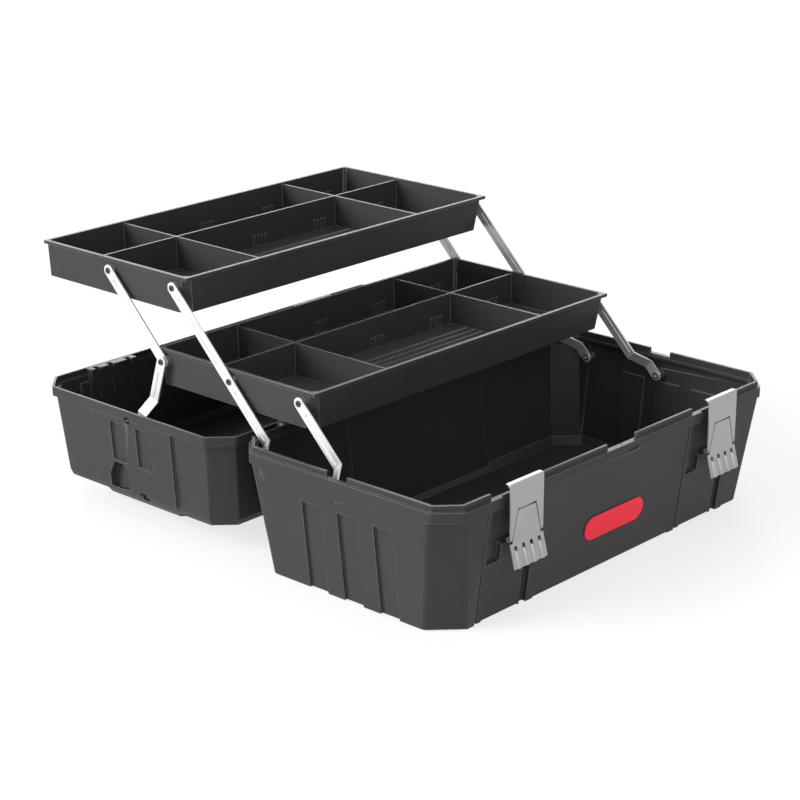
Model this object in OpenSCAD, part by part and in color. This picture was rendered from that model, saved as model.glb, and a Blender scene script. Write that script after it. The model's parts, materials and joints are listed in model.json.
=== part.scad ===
// Cantilever tool box: a moulded tub and lid, two trays that swing out on
// steel links, draw latches and a folding handle.
// X runs along the box, -Y is the front, +Z is up. The origin is the middle
// of the tub's base, on the floor. The box stands open, lid turned right over.

/* [Box] */
// Length of the box over its rim bands
box_length = 430; // [400:1:520]
// Depth of the box, front to back, over its rim bands
box_depth = 232; // [226:1:290]
// Height of the tub up to the parting plane
tub_height = 105; // [88:1:130]
// Height of the lid above the parting plane, without its raised band
lid_height = 77; // [74:1:100]
// Size of the corner chamfers at the rim
corner_chamfer = 19; // [14:0.5:24]
// Radius where a chamfer meets a wall
edge_radius = 6; // [4:0.5:8]
// Thickness of the moulded walls
wall = 2.5; // [2:0.1:3]
// Height of the band round the rim of the tub and of the lid
band_height = 9; // [7:0.5:12]
// How far the recessed walls lie inside the band
band_step = 2.5; // [1.5:0.1:3]
// Inward slope of the tub's end walls, top to base
end_draft = 11; // [6:0.5:14]
// Inward slope of the tub's front and rear walls, top to base
side_draft = 12.3; // [6:0.1:14]
// Inward slope of the lid's end walls, rim to top
lid_end_draft = 5.5; // [3:0.5:8]
// Inward slope of the lid's front wall, rim to top
lid_front_draft = 8.5; // [5:0.5:11]
// Inward slope of the lid's rear wall, rim to top
lid_rear_draft = 3.5; // [2:0.5:6]

/* [Rim lip] */
// Height of the tongue that stands on the tub's rim
lip_height = 5; // [4:0.5:7]
// Thickness of the tongue
lip_thickness = 2.5; // [2:0.1:3]
// Width of the tongue's gap over each front link
link_notch = 22; // [18:1:30]

/* [Trays] */
// Distance from the box's rim band to a tray at each end
tray_end_gap = 25.5; // [24:0.5:32]
// Distance from the box's rim band to the tray in front and behind, together
tray_depth_gap = 49; // [46:1:56]
// Height of a tray
tray_height = 32; // [28:0.5:33]
// Thickness of the tray walls and dividers
tray_wall = 2; // [1.6:0.1:2.5]
// Inward slope of a tray's front wall, rim to bottom
tray_draft = 3.5; // [2:0.5:5]
// Inward slope of a tray's end walls, rim to bottom
tray_end_draft = 1.5; // [1:0.1:4]
// Inward slope of a tray's rear wall, rim to bottom
tray_rear_draft = 0.8; // [0.4:0.1:4]
// Width of the rim bead outside the tray walls
tray_bead = 1.2; // [0.8:0.1:1.6]
// Distance from the middle of a tray to each cross divider
cross_divider_x = 100; // [80:1:120]
// Place of the long divider behind the middle of a tray
long_divider_y = 19; // [0:1:30]
// Drop from the tray rim down to the dividers' top
divider_drop = 1.5; // [0.5:0.5:4]

/* [Links] */
// Length of the links between tub and lower tray, pivot to pivot
lower_link = 86.5; // [82:0.5:92]
// Length of the links between the trays, pivot to pivot
upper_link = 93.5; // [90:0.5:98]
// Distance between neighbouring pivots on a tray
pivot_spacing = 80; // [76:0.5:82]
// Angle of the links over the horizontal with the box open
open_angle = 45.4; // [42:0.1:48]
// Angle of the links with the box shut
closed_angle = 158.5; // [157.5:0.1:159.5]
// Depth of the tub pivots below the parting plane
tub_pivot_drop = 18.3; // [16:0.1:22]
// Depth of the tray pivots below the tray rim
tray_pivot_drop = 10.5; // [9:0.5:12]
// Distance from a tray's rear rim to its rearmost pivot
rear_pivot_inset = 8; // [7.5:0.5:12]
// Place of the lower tray behind the middle of the tub with the box shut
closed_tray_y = -2; // [-4:0.5:4]
// Distance from the hinge back to the lid link's pivot, lid open
lid_pivot_reach = 125; // [118:0.5:130]
// Width of the link strips
strip_width = 10; // [9:0.5:11]
// Thickness of the link strips
strip_thickness = 1.5; // [1.2:0.1:1.8]
// Gap between a tray's rim and the first layer of links
strip_gap = 1.1; // [0.9:0.1:1.5]
// Gap between the two layers of links
layer_gap = 0.8; // [0.7:0.1:1]
// Gap between the tub's wall bosses and the links
boss_gap = 0.3; // [0.2:0.1:0.5]
// Radius of the rivet shanks
rivet_radius = 2; // [1.6:0.1:2.4]
// Radial running clearance of pins and rivets in their bores
running_clearance = 0.05; // [0.02:0.01:0.1]

/* [Hinge] */
// Distance of the hinge axis behind the rim band
hinge_offset = 7.5; // [7:0.5:9]
// Outer radius of the hinge knuckles
knuckle_radius = 5.5; // [5:0.1:6]
// Radius of the hinge pins
hinge_pin_radius = 2; // [1.5:0.1:2.5]
// Distance from the middle of the box to each hinge
hinge_x = 120; // [100:1:150]
// Length of the lid's knuckle between the tub's two knuckles
lid_knuckle_length = 24; // [20:1:36]
// Length of each of the tub's knuckles
tub_knuckle_length = 20; // [10:1:24]

/* [Latches] */
// Distance from the middle of the box to each latch
latch_x = 130.5; // [110:0.5:150]
// Width of the latch plates
latch_width = 40; // [34:1:46]
// Thickness of the latch plates
latch_thickness = 1.2; // [1:0.1:1.5]
// Depth of the lever's pin below the parting plane
lever_pin_drop = 14; // [12:0.5:16]
// Distance from the lever's pin down to the hook's pin
hook_pin_drop = 21; // [19:0.5:23]
// Distance from the hook's pin down to the lever's bottom edge
lever_tail = 23; // [20:0.5:26]
// Radius of the latch pins
latch_pin_radius = 1.2; // [1:0.1:1.4]

/* [Handle] */
// Distance between the handle's outer faces
handle_length = 134; // [110:1:150]
// Distance from the handle's axle to the outer edge of its grip
handle_reach = 42; // [38:1:46]
// Width of the handle's grip
grip_width = 15; // [12:0.5:18]
// Thickness of the handle
handle_thickness = 8; // [7:0.5:9]

/* [Raised band and badge] */
// Height of the raised band on the lid's top
raised_height = 11; // [10:0.5:13]
// Width of the raised band, front to back
raised_width = 100; // [92:1:104]
// Length of the badge on the front
badge_length = 78; // [60:1:90]
// Height of the badge
badge_height = 21; // [14:0.5:24]

/* [Hidden] */

plastic = [0.16, 0.16, 0.17];
tray_plastic = [0.2, 0.2, 0.21];
steel = [0.86, 0.87, 0.88];
latch_steel = [0.64, 0.64, 0.65];
badge_red = [0.8, 0.16, 0.24];
smooth = 48;
arc_steps = 3;
eps = 0.01;
far = 20;
parting_gap = 0.4;

half_l = box_length / 2;
half_d = box_depth / 2;
base_half_l = half_l - end_draft;
base_half_d = half_d - side_draft;
wall_top = tub_height - band_height;
hinge_y = half_d + hinge_offset;
chamfer_recess = band_step * sqrt(2);
tray_length = box_length - 2 * tray_end_gap;
tray_depth = box_depth - tray_depth_gap;

// pivots in the plane of the links, with the box open
mid_pivot = tray_depth / 2 - rear_pivot_inset - pivot_spacing;
front_pivot = mid_pivot - pivot_spacing;
rear_pivot = mid_pivot + pivot_spacing;
tub_rear_y = closed_tray_y + mid_pivot - lower_link * cos(closed_angle);
tub_front_y = tub_rear_y - pivot_spacing;
tub_pivot_z = tub_height - tub_pivot_drop;
lower_y = tub_rear_y + lower_link * cos(open_angle) - mid_pivot;
lower_pivot_z = tub_pivot_z + lower_link * sin(open_angle);
upper_y = lower_y + pivot_spacing + upper_link * cos(open_angle);
upper_pivot_z = lower_pivot_z + upper_link * sin(open_angle);

// the lid link is as long with the box open as with the box shut
open_knee = [lower_y + rear_pivot - hinge_y, lower_pivot_z - tub_height];
shut_knee = [closed_tray_y + rear_pivot - hinge_y,
    tub_pivot_z + lower_link * sin(closed_angle) - tub_height];
knee_sum = open_knee + shut_knee;
lid_pivot_fall = ((open_knee * open_knee - shut_knee * shut_knee) / 2
    - lid_pivot_reach * knee_sum[0]) / knee_sum[1];
lid_pivot_y = hinge_y + lid_pivot_reach;
lid_pivot_z = tub_height + lid_pivot_fall;
lid_link_run = [lid_pivot_y - lower_y - rear_pivot, lid_pivot_z - lower_pivot_z];
lid_link_length = norm(lid_link_run);
lid_link_angle = atan2(lid_link_run[1], lid_link_run[0]);

// layers along X
strip_r = strip_width / 2;
layer_1 = tray_length / 2 + strip_gap;
layer_2 = layer_1 + strip_thickness + layer_gap;
wall_layer = half_l - end_draft / 2 - 4.3;
lid_layer = wall_layer - 1.7;
tub_bend_inner = 12.5;
tub_bend_outer = 26;
lid_bend_inner = 38;
lid_bend_outer = 49;
rivet_bore = rivet_radius + running_clearance;
head_radius = 2.7;
head_height = 0.6;
tail_radius = 2.5;
head_gap = 0.1;
dimple_radius = 1.1;
dimple_depth = 1;
pin_cover = 0.8;
eyelet_radius = 3.4;
slot_half = 0.85;
slot_depth = 0.6;
slot_inset = 12;
rib_half = 1.5;
rib_height = 0.4;

function mix(a, b, t) = a + (b - a) * t;

// Corner k of a chamfered rectangle, in order round it: c in front, d behind.
function corner(k, x, y0, y1, c, d) = [
    [x - c, y0], [x, y0 + c], [x, y1 - d], [x - d, y1],
    [d - x, y1], [-x, y1 - d], [-x, y0 + c], [c - x, y0]][k];

// Outline of a chamfered rectangle, its eight corners rounded to radius r.
function outline(x, y0, y1, c, r, d) = [
    for (k = [0:7]) for (s = [0:arc_steps])
        let (a = 45 * k, b = a - 90 + 45 * s / arc_steps)
        corner(k, x, y0, y1, c, d == undef ? c : d) - r * tan(22.5) * [cos(a), sin(a)]
            + r * [-sin(a), cos(a)] + r * [cos(b), sin(b)]];

function lift(shape, z) = [for (p = shape) [p[0], p[1], z]];

// Solid between two outlines with as many points, one above the other.
module loft(low, z0, high, z1) {
    n = len(low);
    polyhedron(concat(lift(low, z0), lift(high, z1)),
        concat([[for (i = [0:n - 1]) i]], [[for (i = [n - 1:-1:0]) n + i]],
            [for (i = [0:n - 1]) [i, n + i, n + (i + 1) % n, (i + 1) % n]]));
}

// Plate or ring in the shape of the rim, grown outwards by g.
module rim_plate(z0, z1, g) {
    shape = outline(half_l + g, -half_d - g, half_d + g,
        corner_chamfer + g * (2 - sqrt(2)), max(1, edge_radius + g));
    loft(shape, z0, shape, z1);
}

// Box given by its low and high corners.
module span(a, b) {
    translate(a) cube(b - a);
}

module both_ends() {
    children();
    mirror([1, 0, 0]) children();
}

module x_rod(x0, x1, y, z, r) {
    translate([x0, y, z]) rotate([0, 90, 0]) cylinder(h = x1 - x0, r = r, $fn = smooth);
}

// Upright slab whose face slopes in Y, from x0 to x1.
module y_slab(x0, x1, points) {
    translate([x0, 0, 0]) rotate([90, 0, 90]) linear_extrude(x1 - x0) polygon(points);
}

// The same with the face sloping in X, from y0 to y1.
module x_slab(y0, y1, points) {
    translate([0, y1, 0]) rotate([90, 0, 0]) linear_extrude(y1 - y0) polygon(points);
}

// ---- tub -------------------------------------------------------------

bay_left = -40;
bay_right = 22;
bay_step = 1;
narrow_groove = 3.5;
wide_groove = 7;
latch_gap = latch_width / 2 + 1.5;
latch_pocket_left = -33;
latch_pocket_low = 50;
latch_pocket_depth = 4;
boss_half = 18.5;
boss_low = 49;
boss_high = 66;
boss_rise = 0.6;
groove_pitch = 38.5;
groove_width = 20;
groove_depth = 2.5;
groove_web = 0.8;
groove_top = 78;
groove_middle = -8;
end_recess_y = 85;
rear_recess_x = 84;
bead_drop = 1;
bead_height = 3;
bead_depth = 2;
centre_flat = 19;
link_passage = 3;
padlock_radius = 1.6;
pin_dimple_radius = 1;
floor_fillet = 6;
band_notch_left = 6;
band_notch_right = 20;
band_notch_low = 97;
band_notch_high = 102;
band_notch_depth = 1.5;
foot_rise = 1;
foot_half = 9;
pad_half_x = 15;
pad_half_y = 60;

function wall_y(z) = mix(base_half_d, half_d, z / wall_top);
function wall_x(z) = mix(base_half_l, half_l, z / wall_top);

function tub_outline(z, g) =
    outline(wall_x(z) + g, -wall_y(z) - g, wall_y(z) + g,
        corner_chamfer + chamfer_recess + g * (2 - sqrt(2)), max(1, edge_radius + g));

module tub_form(z0, z1, g) {
    loft(tub_outline(z0, g), z0, tub_outline(z1, g), z1);
}

// Cutter that follows the front wall, d deep from its proud face.
module front_cut(x0, x1, z0, z1, d) {
    y_slab(x0, x1, [[-wall_y(z0) - far, z0], [d - wall_y(z0), z0],
        [d - wall_y(z1), z1], [-wall_y(z1) - far, z1]]);
}

// Cutter that follows the end wall at -X.
module end_cut(y0, y1, z0, z1, d) {
    x_slab(y0, y1, [[-wall_x(z0) - far, z0], [d - wall_x(z0), z0],
        [d - wall_x(z1), z1], [-wall_x(z1) - far, z1]]);
}

module groove_cut(y, side, d) {
    end_cut(y - groove_width / 2 - side, y + groove_width / 2 + side, -1, groove_top + side, d);
}

// Everything that the outer walls step back to, with a margin m and d deeper.
module tub_recesses(m, d) {
    top = wall_top + m;
    for (x = [-latch_x, latch_x]) {
        front_cut(x + bay_left - m, x + bay_right + m, -1, top, bay_step + d);
        front_cut(x + bay_left - m, x + bay_left + narrow_groove + m, -1, top, band_step + d);
        front_cut(x + bay_right - wide_groove - m, x + bay_right + m, -1, top,
            latch_pocket_depth + d);
        front_cut(x + latch_pocket_left - m, x + bay_right - m, latch_pocket_low - m, top,
            latch_pocket_depth + d);
        span([x - latch_gap - m, -half_d - far, wall_top - 1],
            [x + latch_gap + m, band_step + d - half_d, tub_height]);
    }
    both_ends() {
        for (i = [-1:1])
            groove_cut(groove_middle + i * groove_pitch, m, groove_depth + d * groove_web);
        end_cut(end_recess_y - m, half_d, -1, top, band_step + d);
    }
    mirror([0, 1, 0]) front_cut(-rear_recess_x - m, rear_recess_x + m, -1, top, band_step + d);
}

module tub_cavity() {
    lip_inner = -band_step - lip_thickness;
    floor_z = wall + foot_rise;
    loft(tub_outline(floor_z, -wall - floor_fillet), floor_z,
        tub_outline(floor_z + floor_fillet, -wall), floor_z + floor_fillet);
    tub_form(floor_z + floor_fillet, wall_top, -wall);
    rim_plate(wall_top, tub_height - bead_drop - bead_height, -wall);
    rim_plate(wall_top, tub_height - bead_drop, lip_inner - bead_depth);
    rim_plate(tub_height - bead_drop, tub_height + lip_height + 1, lip_inner);
}

// Shallow step over the whole base, with feet left under the bays' edges.
module base_relief() difference() {
    span([-half_l, -half_d, -1], [half_l, half_d, foot_rise]);
    for (x = [-latch_x, latch_x]) for (edge = [bay_left, bay_right])
        span([x + edge - foot_half, -half_d, -2], [x + edge + foot_half, half_d, far]);
    span([-pad_half_x, -pad_half_y, -2], [pad_half_x, pad_half_y, far]);
}

lever_pin_y = -half_d - 2.3;
lever_pin_z = tub_height - lever_pin_drop;
hook_pin_y = lever_pin_y - 1.2;
hook_pin_z = lever_pin_z - hook_pin_drop;
latch_bore = latch_pin_radius + running_clearance;
lug_inner = 8;
lug_width = 3;
lug_radius = 2;

module latch_lug(x0) {
    difference() {
        union() {
            x_rod(x0, x0 + lug_width, lever_pin_y, lever_pin_z, lug_radius);
            span([x0, lever_pin_y, lever_pin_z - lug_radius],
                [x0 + lug_width, latch_pocket_depth + 1 - wall_y(lever_pin_z),
                lever_pin_z + lug_radius]);
        }
        x_rod(x0 - 1, x0 + lug_width + 1, lever_pin_y, lever_pin_z, latch_pin_radius);
    }
}

// Boss under the latch that the lever's tail closes over.
module latch_boss() {
    y_slab(-boss_half, boss_half, [[boss_rise - wall_y(boss_low), boss_low],
        [latch_pocket_depth + 1 - wall_y(boss_low), boss_low - 3],
        [latch_pocket_depth + 1 - wall_y(boss_high), boss_high],
        [boss_rise - wall_y(boss_high), boss_high - 2]]);
}

knuckle_gap = 0.3;

// Knuckle with its bracket, in the half above the parting plane.
module knuckle(x0, length, root) {
    difference() {
        union() {
            x_rod(x0, x0 + length, hinge_y, tub_height, knuckle_radius);
            y_slab(x0, x0 + length, [[half_d - root, tub_height + parting_gap],
                [hinge_y, tub_height + parting_gap],
                [hinge_y + knuckle_radius - 0.8, tub_height + 2.6],
                [half_d - root, tub_height + band_height + 3]]);
        }
        x_rod(x0 - 1, x0 + length + 1, hinge_y, tub_height, hinge_pin_radius);
    }
}

module tub_bosses() {
    boss_face = wall_layer + strip_thickness + boss_gap;
    for (y = [tub_front_y, tub_rear_y])
        x_rod(-wall_x(tub_pivot_z) + wall / 2, -boss_face, y, tub_pivot_z, strip_r + 1);
}

module tub() color(plastic) difference() {
    union() {
        difference() {
            union() {
                tub_form(0, wall_top, 0);
                rim_plate(wall_top, tub_height, 0);
                rim_plate(tub_height, tub_height + lip_height, -band_step);
            }
            difference() {
                tub_cavity();
                tub_recesses(wall, wall);
            }
            tub_recesses(0, 0);
            // the lip ends short of the latches and of the front's middle
            for (x = [-latch_x, latch_x])
                span([x + latch_pocket_left, -half_d - 1, tub_height],
                    [x + latch_gap, far - half_d, tub_height + lip_height + 1]);
            span([-centre_flat, -half_d - 1, tub_height],
                [centre_flat, far - half_d, tub_height + lip_height + 1]);
            translate([0, wall / 2 + band_step - half_d, wall_top])
                cylinder(h = far, r = padlock_radius, $fn = smooth);
            span([band_notch_left, -half_d - 1, band_notch_low],
                [band_notch_right, band_notch_depth - half_d, band_notch_high]);
            both_ends() {
                span([-half_l, tub_front_y - link_notch / 2, tub_height],
                    [far - half_l, tub_front_y + link_notch / 2, tub_height + lip_height + 1]);
                // the long rear links cross the lip at the rear
                span([layer_1 - link_passage, half_d - far, tub_height],
                    [layer_1 + strip_thickness + link_passage, half_d, tub_height + lip_height + 1]);
            }
            base_relief();
        }
        both_ends() tub_bosses();
        for (x = [-latch_x, latch_x]) translate([x, 0, 0]) {
            latch_lug(lug_inner);
            latch_lug(-lug_inner - lug_width);
            latch_boss();
        }
        for (x = [-hinge_x, hinge_x]) translate([x, 0, 2 * tub_height]) mirror([0, 0, 1]) {
            knuckle(lid_knuckle_length / 2 + knuckle_gap, tub_knuckle_length, 1);
            knuckle(-lid_knuckle_length / 2 - knuckle_gap - tub_knuckle_length, tub_knuckle_length, 1);
        }
    }
    both_ends() for (y = [tub_front_y, tub_rear_y]) {
        x_rod(pin_cover - wall_x(tub_pivot_z), -wall_layer, y, tub_pivot_z, rivet_radius);
        x_rod(-half_l - 1, -wall_layer, y, tub_pivot_z, pin_dimple_radius);
    }
}

// ---- lid, drawn shut and then turned open ------------------------------

panel_front = -47;
panel_rear = 54;
lid_groove_width = 18;
lid_grooves = [-13.5, 19];
lid_groove_low = 14;
lid_groove_high = 50;
pocket_half_width = 12;
pocket_low = 52;
pocket_high = 78;
pocket_middle = -16.5;
pocket_corner = 6;
pocket_flat = 5;
vent_radius = 3.8;
vent_rise = 9.7;
pocket_depth = 12;
key_hole_front = 8;
key_hole_rear = 16;
key_hole_low = 74;
key_hole_high = 82;
key_hole_depth = 14;
crown_height = 5.5;
crown_inset = 2.5;
lid_bay_low = 14;
lid_bay_high = 66;
pad_depth = 5.5;
pad_height = 29;
pad_slots = [-24.6, -8.7, 11.9];
pad_slot_width = 5.2;
raised_middle = (panel_front + panel_rear) / 2;
raised_slant = 10;
handle_pocket_gap = 2.5;
handle_pocket_width = 54;
handle_pocket_depth = 9.5;
lid_top = tub_height + lid_height;
lid_pin_y = 2 * hinge_y - lid_pivot_y;
lid_pin_z = 2 * tub_height - lid_pivot_z;

module turned_open() {
    translate([0, 2 * hinge_y, 2 * tub_height]) rotate([180, 0, 0]) children();
}

function lid_x(h) = half_l - lid_end_draft * h / lid_height;
lid_pin_end = lid_x(lid_height / 2) - band_step - pin_cover;

function lid_front(h) = half_d - lid_front_draft * h / lid_height;
function lid_rear(h) = half_d - lid_rear_draft * h / lid_height;

function lid_outline(h, g) =
    outline(lid_x(h) + g, -lid_front(h) - g, lid_rear(h) + g,
        corner_chamfer + g * (2 - sqrt(2)), max(1, edge_radius + g));

module lid_form(h0, h1, g) {
    loft(lid_outline(h0, g), tub_height + h0, lid_outline(h1, g), tub_height + h1);
}

// Part of the lid's proud or inner form between two places along Y.
module lid_panel(h0, h1, g, y0, y1) {
    intersection() {
        lid_form(h0, h1, g);
        span([-half_l, y0, tub_height + h0], [half_l, y1, tub_height + h1]);
    }
}

// Cutter that follows the lid's end wall at -X, d deep from its proud face.
module lid_end_cut(y0, y1, h0, h1, d) {
    x_slab(y0, y1, [[-half_l - far, tub_height + h0], [d - lid_x(h0), tub_height + h0],
        [d - lid_x(h1), tub_height + h1], [-half_l - far, tub_height + h1]]);
}

// The same on the lid's front wall.
module lid_front_cut(x0, x1, h0, h1, d) {
    y_slab(x0, x1, [[-half_d - far, tub_height + h0], [d - lid_front(h0), tub_height + h0],
        [d - lid_front(h1), tub_height + h1], [-half_d - far, tub_height + h1]]);
}

// Low crown over the whole top, grown outwards by g.
module crown(z0, g) {
    loft(lid_outline(lid_height, g - band_step), z0,
        lid_outline(lid_height, g - band_step - crown_inset), lid_top + crown_height + min(g, 0));
}

// Slotted pad inside the front wall that fills the lip's gap at a latch.
module stop_pad() {
    difference() {
        span([latch_pocket_left + 1, band_step - half_d, tub_height + parting_gap],
            [latch_gap - 0.8, band_step + lip_thickness + pad_depth - half_d, tub_height + pad_height]);
        for (x = pad_slots)
            span([x - pad_slot_width / 2, wall + band_step - half_d, tub_height],
                [x + pad_slot_width / 2, far - half_d, tub_height + pad_height + 1]);
    }
}

module raised_band(g) {
    half = raised_width / 2 + g;
    low = outline(lid_x(lid_height) + g, raised_middle - half, raised_middle + half, 3, 2);
    high = outline(lid_x(lid_height) - raised_slant + g, raised_middle + 3 - half,
        raised_middle - 3 + half, 3, 2);
    top = lid_top + raised_height + min(g, 0);
    loft(low, lid_top - wall, high, top);
}

module handle_pocket(g) {
    x = handle_length / 2 + handle_pocket_gap + g;
    y = handle_pocket_width / 2 + g;
    top = lid_top + raised_height;
    span([-x, raised_middle - y, top - handle_pocket_depth - g],
        [x, raised_middle + y, top + 1]);
}

// Hollow six-sided pocket low in the end panel.
module end_pocket(g) {
    y = pocket_half_width + g;
    z0 = tub_height + pocket_low - g;
    z1 = tub_height + pocket_high + g;
    translate([-half_l - far, pocket_middle, 0]) rotate([90, 0, 90])
        linear_extrude(far + pocket_depth + g)
            polygon([[-pocket_flat, z0], [pocket_flat, z0], [y, z0 + pocket_corner],
                [y, z1 - pocket_corner / 2], [-y, z1], [-y, z0 + 2 * pocket_corner]]);
}

module lid_recesses(m, d) {
    both_ends() {
        for (y = lid_grooves) lid_end_cut(y - lid_groove_width / 2 - m, y + lid_groove_width / 2 + m,
            lid_groove_low - m, lid_groove_high + m, groove_depth + d);
        end_pocket(d);
        span([-half_l - far, key_hole_front - m, tub_height + key_hole_low - m],
            [key_hole_depth + d - half_l, key_hole_rear + m, tub_height + key_hole_high + m]);
    }
    for (x = [-latch_x, latch_x])
        lid_front_cut(x + bay_left - m, x + bay_right + m, lid_bay_low - m, lid_bay_high + m,
            band_step + bay_step + d);
}

module lid_cavity() {
    inner = -band_step - wall;
    rim_plate(tub_height - 1, tub_height + lip_height + 2 * parting_gap, 0.3 - band_step);
    lid_form(lip_height, lid_height - wall, inner);
    crown(lid_top - wall, -wall);
    lid_panel(lip_height, lid_height - wall, -wall, panel_front + wall, panel_rear - wall);
    difference() {
        raised_band(-wall);
        handle_pocket(wall);
        axle_blocks();
    }
}

handle_arm = 11;
axle_radius = 3;
axle_y = raised_middle + 18;
axle_z = lid_top + raised_height - handle_pocket_depth + handle_thickness / 2 + 0.7;
axle_end = handle_length / 2 + handle_pocket_gap + wall + 1;

module axle_blocks() {
    both_ends() span([-axle_end - wall, axle_y - axle_radius - 2, lid_top - wall - 1],
        [-handle_length / 2 - handle_pocket_gap, axle_y + axle_radius + 2, lid_top + raised_height]);
}

module lid_rim_panels() {
    lid_panel(band_height, lid_height, 0, panel_front, panel_rear);
}

module lid_shut() difference() {
    union() {
        difference() {
            union() {
                rim_plate(tub_height + parting_gap, tub_height + band_height, 0);
                lid_form(band_height, lid_height, -band_step);
                lid_rim_panels();
                crown(lid_top, 0);
                raised_band(0);
            }
            difference() {
                lid_cavity();
                lid_recesses(wall, wall);
            }
            lid_recesses(0, 0);
            handle_pocket(0);
            both_ends() x_rod(-half_l - 1, far - half_l, 0, tub_height + vent_rise, vent_radius);
        }
        both_ends() x_rod(pin_cover / 2 - lid_pin_end - pin_cover, -lid_layer - strip_thickness - boss_gap,
            lid_pin_y, lid_pin_z, strip_r + 1);
        for (x = [-latch_x, latch_x]) translate([x, 0, 0]) stop_pad();
        for (x = [-hinge_x, hinge_x])
            translate([x, 0, 0]) knuckle(-lid_knuckle_length / 2, lid_knuckle_length, 1);
    }
    both_ends() x_rod(-lid_pin_end, -lid_layer, lid_pin_y, lid_pin_z, rivet_radius);
    for (x = [-hinge_x, hinge_x]) x_rod(x - lid_knuckle_length, x + lid_knuckle_length,
        hinge_y, tub_height, hinge_pin_radius + running_clearance);
    x_rod(-axle_end, axle_end, axle_y, axle_z, axle_radius + running_clearance * 2);
}

module lid() color(plastic) turned_open() lid_shut();

// U-shaped handle, folded into its pocket.
module carry_handle() color(plastic) turned_open() {
    x = handle_length / 2;
    arm = handle_arm;
    z0 = axle_z - handle_thickness / 2;
    z1 = axle_z + handle_thickness / 2;
    grip_y = axle_y - handle_reach;
    for (side = [-1, 1]) translate([side * (x - arm / 2), 0, 0]) {
        span([-arm / 2, grip_y + 4, z0], [arm / 2, axle_y, z1]);
        x_rod(-arm / 2, arm / 2, axle_y, axle_z, handle_thickness / 2);
    }
    x_rod(-axle_end + 1, -x + arm, axle_y, axle_z, axle_radius);
    x_rod(x - arm, axle_end - 1, axle_y, axle_z, axle_radius);
    span([-x + 4, grip_y, z0], [x - 4, grip_y + grip_width, z1]);
    for (side = [-1, 1]) translate([side * (x - 4), grip_y + 4, z0])
        cylinder(h = z1 - z0, r = 4, $fn = smooth);
}

// ---- trays -----------------------------------------------------------

tray_rim_z = tray_pivot_drop;
tray_base_z = tray_pivot_drop - tray_height;
tray_chamfer = 5;
tray_rear_chamfer = 2.4;
tray_bead_height = 3;
tray_boss = 5;
card_rib_count = 4;
card_rib_pitch = 4.5;
card_rib_width = 1.5;
card_rib_depth = 3;
card_rib_height = 10.5;
card_pitch = 78.5;
floor_rib_count = 7;
floor_rib_pitch = 9;

// Outline at height t of the wall, 0 at the base and 1 at the rim, grown by g.
function tray_outline(t, g) =
    let (s = g - tray_bead)
    outline(tray_length / 2 + s - tray_end_draft * (1 - t),
        tray_draft * (1 - t) - tray_depth / 2 - s,
        tray_depth / 2 + s - tray_rear_draft * (1 - t),
        mix(tray_chamfer, tray_chamfer + tray_draft, 1 - t), 1.2, tray_rear_chamfer);

module tray_form(z0, z1, g) {
    loft(tray_outline((z0 - tray_base_z) / tray_height, g), z0,
        tray_outline((z1 - tray_base_z) / tray_height, g), z1);
}

module tray_dividers() {
    top = tray_rim_z - divider_drop;
    half = tray_wall / 2;
    span([-half_l, long_divider_y - half, tray_base_z], [half_l, long_divider_y + half, top]);
    for (x = [-cross_divider_x, cross_divider_x])
        span([x - half, -half_d, tray_base_z], [x + half, half_d, top]);
    // slots for loose divider cards, in fours
    for (y = [long_divider_y - half - card_rib_depth / 2, tray_depth / 2 - tray_bead - tray_wall
            - tray_rear_draft - card_rib_depth / 2])
        for (k = [-2:2]) for (i = [0:card_rib_count - 1])
            translate([k * card_pitch + (i - (card_rib_count - 1) / 2) * card_rib_pitch
                - card_rib_width / 2, y, tray_base_z])
                cube([card_rib_width, card_rib_depth, card_rib_height + tray_wall]);
    for (i = [0:floor_rib_count - 1])
        translate([-cross_divider_x, long_divider_y - 22 - i * floor_rib_pitch, tray_base_z])
            cube([2 * cross_divider_x, 1.2, tray_wall + 0.5]);
}

module tray(pivots) {
    difference() {
        union() {
            difference() {
                union() {
                    tray_form(tray_base_z, tray_rim_z, 0);
                    span([-tray_length / 2, -tray_depth / 2, tray_rim_z - tray_bead_height],
                        [tray_length / 2, tray_depth / 2, tray_rim_z]);
                }
                tray_form(tray_base_z + tray_wall, tray_rim_z + 1, -tray_wall);
            }
            intersection() {
                tray_form(tray_base_z, tray_rim_z, -tray_wall / 2);
                tray_dividers();
            }
            for (y = pivots) both_ends()
                x_rod(-layer_1 + boss_gap, tray_bead + tray_end_draft + 1 - tray_length / 2, y, 0,
                    tray_boss);
        }
        for (y = pivots) both_ends()
            x_rod(-layer_1 - 1, far - layer_1, y, 0, rivet_radius);
    }
}

module lower_tray() color(tray_plastic) translate([0, lower_y, lower_pivot_z])
    tray([front_pivot, mid_pivot, rear_pivot]);

module upper_tray() color(tray_plastic) translate([0, upper_y, upper_pivot_z])
    tray([front_pivot, mid_pivot]);

// ---- links -----------------------------------------------------------

// Line along a bent strip, t out from its inner face: x0 before the bend, x1 after.
function bent(length, x0, x1, bend0, bend1, t) =
    let (b = t * tan(atan2(x1 - x0, bend1 - bend0) / 2))
    [[x0 + t, -far], [x0 + t, bend0 - b], [x1 + t, bend1 - b], [x1 + t, length + far]];

function reversed(v) = [for (i = [len(v) - 1:-1:0]) v[i]];

// Layer of the bent strip between depths t0 and t1, cut to a plan outline.
module bent_layer(length, x0, x1, bend0, bend1, t0, t1) {
    intersection() {
        translate([0, 0, -far]) linear_extrude(2 * far)
            polygon(concat(bent(length, x0, x1, bend0, bend1, t0),
                reversed(bent(length, x0, x1, bend0, bend1, t1))));
        rotate([90, 0, 90]) linear_extrude(half_l + far) children();
    }
}

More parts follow.
